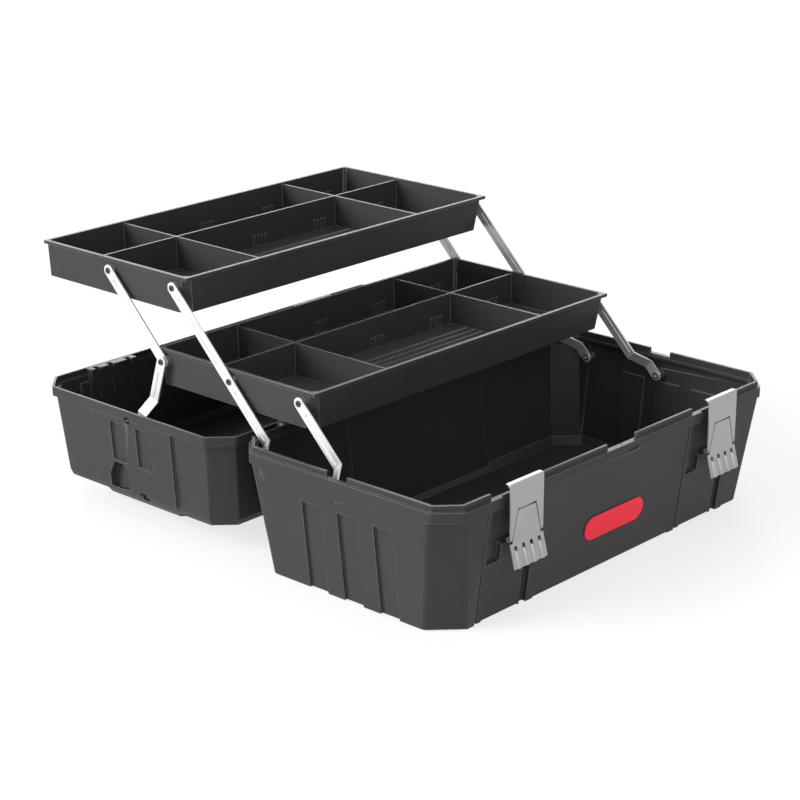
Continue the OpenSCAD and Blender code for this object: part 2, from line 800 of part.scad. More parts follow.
module stadium(y0, y1, r) {
    for (y = [y0, y1]) translate([y, 0]) circle(r, $fn = smooth);
    translate([y0, -r]) square([y1 - y0, 2 * r]);
}

// Link strip from its pivot at y = 0 to the one at y = length, with stamped beads.
module strip(length, x0, x1, bend0, bend1, holes, beads) {
    difference() {
        union() {
            bent_layer(length, x0, x1, bend0, bend1, 0, strip_thickness)
                stadium(0, length, strip_r);
            for (b = beads) bent_layer(length, x0, x1, bend0, bend1, -rib_height, eps)
                stadium(b[0], b[1], rib_half);
        }
        for (b = beads) bent_layer(length, x0, x1, bend0, bend1, strip_thickness - slot_depth,
            strip_thickness + 1) stadium(b[0], b[1], slot_half);
        for (y = holes) x_rod(x0 - 2, x1 + 4, y, 0, rivet_bore);
    }
}

// Straight strip between two pivots.
module plain_strip(length) {
    strip(length, layer_1, layer_1, 0, length, [0, length], [[slot_inset, length - slot_inset]]);
}

rear_link_length = upper_link + lower_link;

module rear_link() color(steel)
    translate([0, upper_y + front_pivot, upper_pivot_z]) rotate([open_angle + 180, 0, 0])
        strip(rear_link_length, layer_1, wall_layer, rear_link_length - tub_bend_outer,
            rear_link_length - tub_bend_inner, [0, upper_link, rear_link_length],
            [[slot_inset, upper_link - slot_inset],
            [upper_link + slot_inset, rear_link_length - tub_bend_outer - 4]]);

module front_link() color(steel)
    translate([0, lower_y + front_pivot, lower_pivot_z]) rotate([open_angle + 180, 0, 0])
        strip(lower_link, layer_1, wall_layer, lower_link - tub_bend_outer,
            lower_link - tub_bend_inner, [0, lower_link],
            [[slot_inset, lower_link - tub_bend_outer - 4]]);

module upper_link_strip() color(steel)
    translate([0, upper_y + mid_pivot, upper_pivot_z]) rotate([open_angle + 180, 0, 0])
        plain_strip(upper_link);

module lid_link() color(steel)
    translate([0, lower_y + rear_pivot, lower_pivot_z]) rotate([lid_link_angle, 0, 0])
        strip(lid_link_length, layer_2, lid_layer, lid_bend_inner, lid_bend_outer,
            [0, lid_link_length], [[slot_inset, lid_bend_inner - 3]]);

module rear_link_left() mirror([1, 0, 0]) rear_link();
module rear_link_right() rear_link();
module front_link_left() mirror([1, 0, 0]) front_link();
module front_link_right() front_link();
module upper_link_left() mirror([1, 0, 0]) upper_link_strip();
module upper_link_right() upper_link_strip();
module lid_link_left() mirror([1, 0, 0]) lid_link();
module lid_link_right() lid_link();

// ---- rivets and pins ----------------------------------------------------

// Rivet on the +X side, from its tail at x0 to the link's outer face at x1.
module rivet(x0, x1, y, z) {
    face = x1 + head_gap;
    difference() {
        union() {
            x_rod(x0, face + eps, y, z, rivet_radius);
            x_rod(face, face + head_height, y, z, head_radius);
            x_rod(x0 - head_height, x0, y, z, tail_radius);
        }
        x_rod(face + head_height - dimple_depth, face + far, y, z, dimple_radius);
    }
}

// Inner face of the tray's end wall at the rivet tails' lower edge.
function tray_inner() = tray_length / 2 - tray_bead - tray_wall
    - tray_end_draft * (tray_pivot_drop + tail_radius) / tray_height;

module lower_tray_rivets() color(steel) both_ends() translate([0, lower_y, lower_pivot_z]) {
    for (y = [front_pivot, mid_pivot])
        rivet(tray_inner(), layer_1 + strip_thickness, y, 0);
    rivet(tray_inner(), layer_2 + strip_thickness, rear_pivot, 0);
    // collar between the two links on the rear rivet
    x_rod(layer_1 + strip_thickness + head_gap, layer_2 - head_gap, rear_pivot, 0, head_radius);
}

module upper_tray_rivets() color(steel) both_ends() translate([0, upper_y, upper_pivot_z])
    for (y = [front_pivot, mid_pivot])
        rivet(tray_inner(), layer_1 + strip_thickness, y, 0);

// Pins set in the tub's wall, each ending short of its link's eyelet.
module tub_rivets() color(steel) both_ends() for (y = [tub_front_y, tub_rear_y])
    x_rod(wall_layer + strip_thickness + boss_gap, wall_x(tub_pivot_z) - pin_cover, y, tub_pivot_z,
        rivet_radius);

// Eyelets that the open pivots carry on the links themselves.
module link_eyelet(y) both_ends() difference() {
    union() {
        x_rod(wall_layer - head_height, wall_layer + strip_thickness, y, tub_pivot_z, rivet_bore);
        x_rod(wall_layer - head_height, wall_layer, y, tub_pivot_z, eyelet_radius);
    }
    x_rod(wall_layer - far, wall_layer + dimple_depth - head_height, y, tub_pivot_z, dimple_radius);
}

module rear_link_rivets() color(steel) link_eyelet(tub_rear_y);
module front_link_rivets() color(steel) link_eyelet(tub_front_y);

module lid_rivets() color(steel) both_ends() translate([0, lid_pivot_y, lid_pivot_z]) {
    x_rod(lid_layer - head_gap, lid_pin_end, 0, 0, rivet_radius);
    difference() {
        x_rod(lid_layer - head_gap - head_height, lid_layer - head_gap, 0, 0, eyelet_radius);
        x_rod(lid_layer - far, lid_layer - head_gap, 0, 0, dimple_radius);
    }
}

module hinge_pins() color(steel) for (x = [-hinge_x, hinge_x]) {
    half = lid_knuckle_length / 2 + knuckle_gap + tub_knuckle_length;
    x_rod(x - half, x + half, hinge_y, tub_height, hinge_pin_radius);
}

// ---- latches, about x = 0 -------------------------------------------------

hook_face = lever_pin_y - 2.3;
hook_gap = 0.4;
hook_top = tub_height + band_height + hook_gap + latch_thickness;
hook_reach = 5;
rail_low = 17.3;
rail_high = 11.1;
window_top = lever_pin_z + 3;
tongue_gap = 0.8;
shoulder_drop = 3.6;
ear_in = 6.4;
ear_thickness = 1.2;
side_ear = 15.2;
barrel_radius = 2.2;
barrel_gap = 0.3;
tail_flare = 5;
flute_count = 4;
flute_radius = 2.5;
flute_rise = 1.7;
flute_hole = 1.9;

module hook_bar() {
    y0 = hook_face - latch_thickness;
    w = latch_width / 2;
    difference() {
        union() {
            span([-w, y0, hook_pin_z], [w, hook_face, hook_top - 1.5]);
            // rolled top with its tip over the lid's band
            x_rod(-w, w, y0 + 1.5, hook_top - 1.5, 1.5);
            span([-w, y0 + 1.5, hook_top - latch_thickness], [w, hook_face - latch_thickness + hook_reach, hook_top]);
            for (side = [-1, 1]) translate([side * (w + rail_low) / 2, 0, 0])
                x_rod((rail_low - w) / 2, (w - rail_low) / 2, hook_pin_y, hook_pin_z, barrel_radius);
        }
        // window for the lever's tongue
        translate([0, y0 - 1, 0]) rotate([-90, 0, 0]) linear_extrude(latch_thickness + 2)
            polygon([[-rail_low, far - hook_pin_z], [-rail_low, -hook_pin_z],
                [-rail_high, -window_top], [rail_high, -window_top],
                [rail_low, -hook_pin_z], [rail_low, far - hook_pin_z]]);
        x_rod(-w - 1, w + 1, hook_pin_y, hook_pin_z, latch_bore);
    }
}

module latch_hook(x) color(latch_steel) translate([x, 0, 0]) hook_bar();

module lever_bar() {
    y1 = hook_face;
    y0 = y1 - latch_thickness;
    w = latch_width / 2;
    low = hook_pin_z - lever_tail;
    shoulder = hook_pin_z - shoulder_drop;
    top = window_top - tongue_gap - 0.6;
    difference() {
        union() {
            // tongue that stands in the hook's window
            translate([0, y1, 0]) rotate([90, 0, 0]) linear_extrude(latch_thickness)
                polygon([[-rail_low + tongue_gap, shoulder - 1], [rail_low - tongue_gap, shoulder - 1],
                    [rail_low - tongue_gap, hook_pin_z], [rail_high - tongue_gap, top],
                    [tongue_gap - rail_high, top], [tongue_gap - rail_low, hook_pin_z]]);
            // fluted tail
            y_slab(-w, w, [[y0, shoulder], [y1, shoulder], [y1 - tail_flare, low], [y0 - tail_flare, low]]);
            for (i = [0:flute_count - 1]) flute(i, y0, low, shoulder - 5);
            // ears back to the lever's pin and to the hook's pin
            for (side = [-1, 1]) {
                ear(side * (ear_in + ear_thickness / 2), y1, lever_pin_y, lever_pin_z);
                ear(side * (side_ear + ear_thickness / 2), y1, hook_pin_y, hook_pin_z);
            }
        }
        for (i = [0:flute_count - 1])
            translate([flute_x(i), y0, shoulder - 4]) rotate([90, 0, 0])
                cylinder(h = 8, r = flute_hole, center = true, $fn = smooth);
        x_rod(-10, 10, lever_pin_y, lever_pin_z, latch_bore);
        x_rod(-w, w, hook_pin_y, hook_pin_z, latch_pin_radius);
    }
}

function flute_x(i) = (i - (flute_count - 1) / 2) * latch_width / (flute_count + 0.2);

module flute(i, y0, low, high) {
    lean = atan2(tail_flare, hook_pin_z - shoulder_drop - low);
    translate([flute_x(i), y0 - tail_flare, low]) rotate([-lean, 0, 0])
        translate([0, flute_radius - flute_rise, 0]) intersection() {
            cylinder(h = high - low, r = flute_radius, $fn = smooth);
            span([-far, -far, 0], [far, -flute_radius + flute_rise + 0.3, far]);
        }
}

module ear(x, y_plate, y_pin, z) {
    x_rod(x - ear_thickness / 2, x + ear_thickness / 2, y_pin, z, lug_radius);
    span([x - ear_thickness / 2, y_plate - eps, z - lug_radius],
        [x + ear_thickness / 2, y_pin, z + lug_radius]);
}

module latch_lever(x) color(latch_steel) translate([x, 0, 0]) lever_bar();

module latch_lever_left() latch_lever(-latch_x);
module latch_lever_right() latch_lever(latch_x);
module latch_hook_left() latch_hook(-latch_x);
module latch_hook_right() latch_hook(latch_x);

module lever_pins() color(steel) for (x = [-latch_x, latch_x])
    x_rod(x - lug_inner - lug_width, x + lug_inner + lug_width, lever_pin_y, lever_pin_z,
        latch_pin_radius);

module hook_pin(x) color(steel)
    x_rod(x - latch_width / 2, x + latch_width / 2, hook_pin_y, hook_pin_z, latch_pin_radius);

module hook_pin_left() hook_pin(-latch_x);
module hook_pin_right() hook_pin(latch_x);

// ---- badge -----------------------------------------------------------

badge_z = 40.5;
badge_x = -2.5;
badge_thickness = 1.2;

module front_badge() color(badge_red)
    translate([badge_x, -wall_y(badge_z), badge_z]) rotate([90 + atan2(side_draft, wall_top), 0, 0])
        linear_extrude(badge_thickness)
            stadium((badge_height - badge_length) / 2, (badge_length - badge_height) / 2,
                badge_height / 2);

tub();
lid();
lower_tray();
upper_tray();
tub_rivets();
lower_tray_rivets();
upper_tray_rivets();
lid_rivets();
hinge_pins();
rear_link_left();
rear_link_right();
front_link_left();
front_link_right();
upper_link_left();
upper_link_right();
lid_link_left();
lid_link_right();
rear_link_rivets();
front_link_rivets();
latch_lever_left();
latch_lever_right();
latch_hook_left();
latch_hook_right();
lever_pins();
hook_pin_left();
hook_pin_right();
carry_handle();
front_badge();
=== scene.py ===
import json
import math

import bmesh
import bpy
from mathutils import Matrix, Vector
from mathutils.bvhtree import BVHTree


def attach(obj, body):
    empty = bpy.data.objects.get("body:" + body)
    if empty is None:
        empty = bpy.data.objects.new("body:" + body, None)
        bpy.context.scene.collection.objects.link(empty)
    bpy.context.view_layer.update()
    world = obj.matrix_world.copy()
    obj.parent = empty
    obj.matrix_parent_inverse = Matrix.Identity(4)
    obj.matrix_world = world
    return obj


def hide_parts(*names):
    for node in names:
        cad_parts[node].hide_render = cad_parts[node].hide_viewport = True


bl_info = {
    "name": "Cantilever tool box",
    "version": (1, 0, 0),
    "blender": (4, 5, 0),
    "location": "3D View > Sidebar > Tool box",
    "description": "Finishes and stage for a cantilever tool box with swing-out trays",
    "category": "Object",
}

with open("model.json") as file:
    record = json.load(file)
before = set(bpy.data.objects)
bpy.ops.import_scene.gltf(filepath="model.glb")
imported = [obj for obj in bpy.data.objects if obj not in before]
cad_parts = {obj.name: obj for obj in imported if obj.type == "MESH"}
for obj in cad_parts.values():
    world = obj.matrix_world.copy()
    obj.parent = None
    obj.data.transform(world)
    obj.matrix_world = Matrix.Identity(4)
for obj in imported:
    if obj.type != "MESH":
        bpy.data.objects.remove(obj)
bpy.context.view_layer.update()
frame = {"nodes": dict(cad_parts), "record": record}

BODY_OF = {node: body for body, nodes in frame["record"]["behaviour"]["bodies"].items()
           for node in nodes}

SIDES = ("left", "right")
SHELLS = ("tub", "lid")
TRAYS = ("lower_tray", "upper_tray")
LINKS = tuple(f"{link}_{side}" for link in ("rear_link", "front_link", "upper_link", "lid_link")
              for side in SIDES)
LATCHES = tuple(f"{part}_{side}" for part in ("latch_lever", "latch_hook") for side in SIDES)
TRAY_RIVETS = ("lower_tray_rivets", "upper_tray_rivets")
BRIGHT_PINS = ("tub_rivets", "lid_rivets", "rear_link_rivets", "front_link_rivets", "hinge_pins",
               "lever_pins", "hook_pin_left", "hook_pin_right")


# ---- settings -------------------------------------------------------------

class PlasticSettings(bpy.types.PropertyGroup):
    shell_colour: bpy.props.FloatVectorProperty(
        name="Tub and lid colour", description="Colour of the moulded tub and lid",
        subtype="COLOR", size=3, min=0, max=1, default=(0.033, 0.033, 0.034))
    tray_colour: bpy.props.FloatVectorProperty(
        name="Tray colour", description="Colour of the two trays",
        subtype="COLOR", size=3, min=0, max=1, default=(0.04, 0.04, 0.042))
    roughness: bpy.props.FloatProperty(
        name="Roughness", description="How matte the moulded surface is",
        subtype="FACTOR", min=0, max=1, default=0.4)
    grain: bpy.props.FloatProperty(
        name="Grain", description="Size of the moulded texture's grains",
        subtype="DISTANCE", unit="LENGTH", min=0.0001, max=0.01, default=0.0006)
    edge: bpy.props.FloatProperty(
        name="Edge radius", description="Radius that softens the moulded edges",
        subtype="DISTANCE", unit="LENGTH", min=0, max=0.003, default=0.00035)
    # painted highlight: the rounded edges are made paler, standing in for light caught on them
    painted_edge_highlight: bpy.props.FloatProperty(
        name="Edge highlight", description="How much paler the painted highlight makes the rounded edges",
        subtype="FACTOR", min=0, max=1, default=0.5)


class MetalSettings(bpy.types.PropertyGroup):
    link_colour: bpy.props.FloatVectorProperty(
        name="Link colour", description="Colour of the zinc-plated link strips",
        subtype="COLOR", size=3, min=0, max=1, default=(0.62, 0.62, 0.63))
    latch_colour: bpy.props.FloatVectorProperty(
        name="Latch colour", description="Colour of the latch plates",
        subtype="COLOR", size=3, min=0, max=1, default=(0.37, 0.37, 0.375))
    dark_colour: bpy.props.FloatVectorProperty(
        name="Tray rivet colour", description="Colour of the blackened tray rivets",
        subtype="COLOR", size=3, min=0, max=1, default=(0.03, 0.03, 0.03))
    roughness: bpy.props.FloatProperty(
        name="Roughness", description="How satin the metal is",
        subtype="FACTOR", min=0, max=1, default=0.4)
    edge: bpy.props.FloatProperty(
        name="Edge radius", description="Radius that softens the sheared edges",
        subtype="DISTANCE", unit="LENGTH", min=0, max=0.001, default=0.00012)


class BadgeSettings(bpy.types.PropertyGroup):
    colour: bpy.props.FloatVectorProperty(
        name="Badge colour", description="Colour of the plain badge",
        subtype="COLOR", size=3, min=0, max=1, default=(0.88, 0.012, 0.038))
    edge: bpy.props.FloatProperty(
        name="Edge radius", description="Radius of the badge's rounded rim",
        subtype="DISTANCE", unit="LENGTH", min=0, max=0.002, default=0.0005)


class StageSettings(bpy.types.PropertyGroup):
    floor_colour: bpy.props.FloatVectorProperty(
        name="Floor colour", description="Colour of the floor",
        subtype="COLOR", size=3, min=0, max=1, default=(0.9, 0.9, 0.9))
    floor_white: bpy.props.FloatProperty(
        name="Floor white", description="Share of plain white in the floor as it is seen",
        subtype="FACTOR", min=0, max=1, default=0.72)
    sky: bpy.props.FloatProperty(
        name="Sky", description="Strength of the even light from all round",
        subtype="FACTOR", min=0, max=1, default=0.26)


# ---- node helpers ---------------------------------------------------------

def node_group(name, inputs, outputs):
    """A new shader group with its sockets, given as (name, kind, default)."""
    group = bpy.data.node_groups.new(name, "ShaderNodeTree")
    for label, kind, default in inputs:
        socket = group.interface.new_socket(label, in_out="INPUT", socket_type=kind)
        socket.default_value = default
    for label, kind in outputs:
        group.interface.new_socket(label, in_out="OUTPUT", socket_type=kind)
    return group, group.nodes.new("NodeGroupInput"), group.nodes.new("NodeGroupOutput")


def fill(tree, socket, value):
    """Sets a socket to a number, or links an output to it."""
    if isinstance(value, (int, float)):
        socket.default_value = value
    else:
        tree.links.new(value, socket)


def math_node(tree, operation, *values, clamp=False):
    node = tree.nodes.new("ShaderNodeMath")
    node.operation = operation
    node.use_clamp = clamp
    for socket, value in zip(node.inputs, values):
        fill(tree, socket, value)
    return node.outputs[0]


def noise_node(tree, coordinates, scale, detail):
    node = tree.nodes.new("ShaderNodeTexNoise")
    node.inputs["Detail"].default_value = detail
    tree.links.new(coordinates, node.inputs["Vector"])
    fill(tree, node.inputs["Scale"], scale)
    return node.outputs["Fac"]


def scaled_colour(tree, colour, factor):
    node = tree.nodes.new("ShaderNodeVectorMath")
    node.operation = "SCALE"
    tree.links.new(colour, node.inputs[0])
    fill(tree, node.inputs["Scale"], factor)
    return node.outputs[0]


def stretched(tree, coordinates, scale):
    node = tree.nodes.new("ShaderNodeMapping")
    node.inputs["Scale"].default_value = scale
    tree.links.new(coordinates, node.inputs["Vector"])
    return node.outputs["Vector"]


def bump_node(tree, height, strength, distance):
    node = tree.nodes.new("ShaderNodeBump")
    node.inputs["Distance"].default_value = distance
    fill(tree, node.inputs["Strength"], strength)
    tree.links.new(height, node.inputs["Height"])
    return node.outputs["Normal"]


# ---- shared effects -------------------------------------------------------

# faces along the rounded edges, which get the painted highlight
EDGE_MARK = "rounded_edge"

# scale of each noise per metre, and how many octaves it has; the first breaks up the painted
# highlight on rounded edges
EDGE_HIGHLIGHT_PATCHES = (160, 3)
PLASTIC_CLOUD = (9, 3)
PLASTIC_FLOW = (150, 3)
METAL_BLOTCH = (45, 4)
FINE_OCTAVES = 2

# factor and offset that a noise is turned into; the first sets how patchy the painted edge
# highlight is
EDGE_HIGHLIGHT_BREAKS = (0.8, 0.4)
CLOUD_TONE = (0.3, 0.8)
FLOW_ROUGHNESS = (0.14, -0.07)
BLOTCH_TONE = (0.2, 0.9)
BLOTCH_ROUGHNESS = (0.2, -0.1)

FLOW_TONE = 0.1
# how many times paler the painted highlight makes the rounded edges
EDGE_HIGHLIGHT_TONE = 5.0
FLOW_STRETCH = (1, 1, 0.12)
ROLLED_STRETCH = (1, 0.06, 0.06)
GRAIN_HEIGHT = 0.00006
LINE_HEIGHT = 0.00003
LINE_STRENGTH = 0.25


def edge_mask_group():
    """1 on a piece's rounded edges and 0 elsewhere, broken up by fine noise: the mask of the
    painted edge highlight.
    """
    group, given, out = node_group(
        "Edge mask", (("Amount", "NodeSocketFloat", 0.5),), (("Mask", "NodeSocketFloat"),))
    edge = group.nodes.new("ShaderNodeAttribute")
    edge.attribute_name = EDGE_MARK
    place = group.nodes.new("ShaderNodeTexCoord").outputs["Object"]
    patches = noise_node(group, place, *EDGE_HIGHLIGHT_PATCHES)
    broken = math_node(group, "MULTIPLY_ADD", patches, *EDGE_HIGHLIGHT_BREAKS, clamp=True)
    mask = math_node(group, "MULTIPLY", edge.outputs["Fac"], broken)
    group.links.new(math_node(group, "MULTIPLY", mask, given.outputs["Amount"]),
                    out.inputs["Mask"])
    return group


def mould_grain_group():
    """Fine pebbled texture of moulded plastic, with slow drift and a painted highlight that pales
    the rounded edges.
    """
    group, given, out = node_group(
        "Mould grain",
        (("Colour", "NodeSocketColor", (0.03, 0.03, 0.03, 1)),
         ("Grain size", "NodeSocketFloat", 0.0006),
         ("Depth", "NodeSocketFloat", 0.3),
         ("Roughness", "NodeSocketFloat", 0.4),
         ("Edge highlight", "NodeSocketFloat", 0.5)),
        (("Colour", "NodeSocketColor"), ("Roughness", "NodeSocketFloat"),
         ("Normal", "NodeSocketVector")))
    place = group.nodes.new("ShaderNodeTexCoord").outputs["Object"]
    cloud = noise_node(group, place, *PLASTIC_CLOUD)
    flow = noise_node(group, stretched(group, place, FLOW_STRETCH), *PLASTIC_FLOW)
    grains = math_node(group, "DIVIDE", 1.0, given.outputs["Grain size"])
    grain = noise_node(group, place, grains, FINE_OCTAVES)

    tone = math_node(group, "MULTIPLY_ADD", cloud, *CLOUD_TONE)
    tone = math_node(group, "MULTIPLY_ADD", flow, FLOW_TONE, tone)
    # painted highlight: the masked rounded edges are made paler, standing in for light caught on
    # them
    highlight_mask_node = group.nodes.new("ShaderNodeGroup")
    highlight_mask_node.node_tree = shared("Edge mask", edge_mask_group)
    group.links.new(given.outputs["Edge highlight"], highlight_mask_node.inputs["Amount"])
    tone = math_node(group, "MULTIPLY_ADD", highlight_mask_node.outputs["Mask"], EDGE_HIGHLIGHT_TONE, tone)
    group.links.new(scaled_colour(group, given.outputs["Colour"], tone), out.inputs["Colour"])

    spread = math_node(group, "MULTIPLY_ADD", flow, *FLOW_ROUGHNESS)
    rough = math_node(group, "ADD", given.outputs["Roughness"], spread, clamp=True)
    group.links.new(rough, out.inputs["Roughness"])
    group.links.new(bump_node(group, grain, given.outputs["Depth"], GRAIN_HEIGHT),
                    out.inputs["Normal"])
    return group


def rolled_metal_group():
    """Drawn lines, faint blotches and handling marks of plated sheet steel."""
    group, given, out = node_group(
        "Rolled metal",
        (("Colour", "NodeSocketColor", (0.6, 0.6, 0.6, 1)),
         ("Line spacing", "NodeSocketFloat", 0.0004),
         ("Roughness", "NodeSocketFloat", 0.4)),
        (("Colour", "NodeSocketColor"), ("Roughness", "NodeSocketFloat"),
         ("Normal", "NodeSocketVector")))
    place = group.nodes.new("ShaderNodeTexCoord").outputs["Object"]
    spacing = math_node(group, "DIVIDE", 1.0, given.outputs["Line spacing"])
    lines = noise_node(group, stretched(group, place, ROLLED_STRETCH), spacing, FINE_OCTAVES)
    blotch = noise_node(group, place, *METAL_BLOTCH)
    tone = math_node(group, "MULTIPLY_ADD", blotch, *BLOTCH_TONE)
    group.links.new(scaled_colour(group, given.outputs["Colour"], tone), out.inputs["Colour"])
    spread = math_node(group, "MULTIPLY_ADD", blotch, *BLOTCH_ROUGHNESS)
    rough = math_node(group, "ADD", given.outputs["Roughness"], spread, clamp=True)
    group.links.new(rough, out.inputs["Roughness"])
    group.links.new(bump_node(group, lines, LINE_STRENGTH, LINE_HEIGHT), out.inputs["Normal"])
    return group


def shared(name, maker):
    return bpy.data.node_groups.get(name) or maker()


def finish_material(name, group, colour, settings, shader_settings):
    """A material whose colour, roughness and normal come from a shared group."""
    material = bpy.data.materials.new(name)
    material.use_nodes = True
    tree = material.node_tree
    shader = tree.nodes["Principled BSDF"]
    effect = tree.nodes.new("ShaderNodeGroup")
    effect.node_tree = group
    effect.inputs["Colour"].default_value = (*colour, 1)
    for label, value in settings.items():
        effect.inputs[label].default_value = value
    tree.links.new(effect.outputs["Colour"], shader.inputs["Base Color"])
    tree.links.new(effect.outputs["Roughness"], shader.inputs["Roughness"])
    tree.links.new(effect.outputs["Normal"], shader.inputs["Normal"])
    for label, value in shader_settings.items():
        shader.inputs[label].default_value = value
    material.diffuse_color = (*colour, 1)
    return material


def plastic_material(plastic, name, colour, depth, rougher, specular):
    """Moulded plastic with its grain's depth, extra roughness and specular level."""
    return finish_material(
        name, shared("Mould grain", mould_grain_group), colour,
        {"Grain size": plastic.grain, "Depth": depth, "Roughness": plastic.roughness + rougher,
         "Edge highlight": plastic.painted_edge_highlight}, {"Specular IOR Level": specular})


def metal_material(metal, name, colour, spacing, rougher, **shader_settings):
    """Sheet metal with the spacing of its drawn lines and its extra roughness."""
    return finish_material(
        name, shared("Rolled metal", rolled_metal_group), colour,
        {"Line spacing": spacing, "Roughness": metal.roughness + rougher}, shader_settings)


# ---- pieces ---------------------------------------------------------------

FLAT = math.radians(0.15)  # triangles that meet at less are one flat
FOLD = math.radians(2)  # wide flats that meet at more shade apart
SHARP = math.radians(26)  # edges that turn by more are rounded
ROUND = math.radians(50)  # faces of a rounded edge that meet at less shade together
BEVEL_SEGMENTS = 2
WELD = 0.0000005
SLACK = 0.000005  # how far a point may be off the flat that it lies in
FLAT_WIDTH = 0.003
SMALL_HOLE_EDGE = 0.0009


def dress(piece, material):
    """Puts one material on all of a piece."""
    if not piece.material_slots:
        piece.data.materials.append(material)
    for slot in piece.material_slots:
        slot.material = material


def dress_nodes(nodes, material):
    for name in nodes:
        dress(frame["nodes"][name], material)


def merged_copy(node, name):
    """A copy of a CAD node with its loose triangles joined and its flat faces made whole."""
    bpy.ops.object.select_all(action="DESELECT")
    source = frame["nodes"][node]
    piece = source.copy()
    piece.data = source.data.copy()
    piece.name = piece.data.name = name
    bpy.context.collection.objects.link(piece)
    piece.select_set(True)
    bpy.context.view_layer.objects.active = piece
    bpy.ops.object.mode_set(mode="EDIT")
    bpy.ops.mesh.select_all(action="SELECT")
    bpy.ops.mesh.remove_doubles(threshold=WELD)
    bpy.ops.object.mode_set(mode="OBJECT")
    whole_flats()
    return piece


def whole_flats():
    """Makes each flat of the active piece one face."""
    bpy.ops.object.mode_set(mode="EDIT")
    bpy.ops.mesh.select_all(action="SELECT")
    bpy.ops.mesh.dissolve_limited(angle_limit=FLAT)
    bpy.ops.object.mode_set(mode="OBJECT")


def split_flats():
    """Cuts each flat of the active piece into triangles, so that a ring stays open in a bevel."""
    bpy.ops.object.mode_set(mode="EDIT")
    bpy.ops.mesh.select_all(action="SELECT")
    bpy.ops.mesh.quads_convert_to_tris(quad_method="BEAUTY", ngon_method="BEAUTY")
    bpy.ops.object.mode_set(mode="OBJECT")


def breadth(area, lengths):
    """How wide a face is across its longest edge."""
    return area / max(lengths)


def polygon_breadth(polygon, points):
    return breadth(polygon.area, ((points[a] - points[b]).length for a, b in polygon.edge_keys))


def face_breadth(face):
    return breadth(face.calc_area(), (edge.calc_length() for edge in face.edges))


def mark_edges(piece, shortest):
    """Weighs the sharp edges for the bevel, but for those beside walls that meet in a line.

    Edges under the shortest length, as round a small hole, stay as they are. A shallow fold
    between two wide flats stays crisp, so that neither shades into the other.
    """
    mesh = bmesh.new()
    mesh.from_mesh(piece.data)
    weight = mesh.edges.layers.float.new("bevel_weight_edge")
    shared_points = {point for edge in mesh.edges if not edge.is_manifold
                     for point in edge.verts}
    for edge in mesh.edges:
        if not edge.is_manifold or shared_points.intersection(edge.verts):
            continue
        turn = edge.calc_face_angle()
        if turn > SHARP:
            edge[weight] = edge.calc_length() > shortest
        elif turn > FOLD and min(map(face_breadth, edge.link_faces)) > FLAT_WIDTH:
            edge.smooth = False
    mesh.to_mesh(piece.data)
    mesh.free()


def wide_flats(piece):
    """The normal and one point of each face of a piece, or None for a narrow face."""
    points = [point.co.copy() for point in piece.data.vertices]
    flats = []
    for face in piece.data.polygons:
        wide = polygon_breadth(face, points) > FLAT_WIDTH
        flats.append((face.normal.copy(), points[face.vertices[0]]) if wide else None)
    return flats


def even_flats(piece, surface, flats):
    """Gives each wide flat one normal all over, and runs the rounded edges out to it."""
    mesh = piece.data
    points = [point.co for point in mesh.vertices]
    level, beside = {}, {}
    for face in mesh.polygons:
        flat = flats[surface.find_nearest(face.center)[2]]
        if flat and all(abs((points[point] - flat[1]).dot(flat[0])) < SLACK
                        for point in face.vertices):
            level[face.index] = flat[0]
            for point in face.vertices:
                beside.setdefault(point, []).append(flat[0])
    normals = [corner.vector.copy() for corner in mesh.corner_normals]
    for face in mesh.polygons:
        for corner, point in zip(face.loop_indices, face.vertices):
            if face.index in level:
                normals[corner] = level[face.index]
            elif point in beside:
                nearest = max(beside[point], key=face.normal.dot)
                if nearest.dot(face.normal) > math.cos(ROUND):
                    normals[corner] = nearest
    mesh.normals_split_custom_set(normals)
    return level


def mark_rounds(piece, width, level):
    """Marks the faces that the bevel put along the edges, for the painted highlight that pales
    them.
    """
    mesh = piece.data
    points = [point.co for point in mesh.vertices]
    marks = mesh.attributes.new(EDGE_MARK, "FLOAT", "FACE")
    for face, mark in zip(mesh.polygons, marks.data):
        mark.value = face.index not in level and polygon_breadth(face, points) < width


def settle(piece, surface, reach, low, high):
    """Brings back each point of a piece that stands off the surface it was made from."""
    for point in piece.data.vertices:
        nearest, _, _, gap = surface.find_nearest(point.co)
        if gap > reach:
            point.co = nearest
        point.co = [min(max(at, least), most)
                    for at, least, most in zip(point.co, low, high)]


def round_edges(piece, width, shortest):
    """Rounds a piece's sharp edges, with flats that stay flat under the light."""
    points = [point.co.copy() for point in piece.data.vertices]
    surface = BVHTree.FromPolygons(points, [face.vertices[:] for face in piece.data.polygons])
    low = [min(axis) for axis in zip(*points)]
    high = [max(axis) for axis in zip(*points)]
    flats = wide_flats(piece)
    mark_edges(piece, shortest)
    split_flats()
    bevel = piece.modifiers.new("Edges", "BEVEL")
    bevel.width = width
    bevel.segments = BEVEL_SEGMENTS
    bevel.limit_method = "WEIGHT"
    bevel.use_clamp_overlap = False
    bpy.ops.object.modifier_apply(modifier=bevel.name)
    settle(piece, surface, width, low, high)
    bpy.ops.object.shade_smooth_by_angle(angle=ROUND)
    level = even_flats(piece, surface, flats)
    mark_rounds(piece, width, level)


def softened(node, name, width, material, shortest=0):
    """The piece that stands for a CAD node, with rounded edges, on the node's body."""
    piece = merged_copy(node, name)
    round_edges(piece, width, shortest)
    dress(piece, material)
    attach(piece, BODY_OF[node])
    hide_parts(node)
    return piece


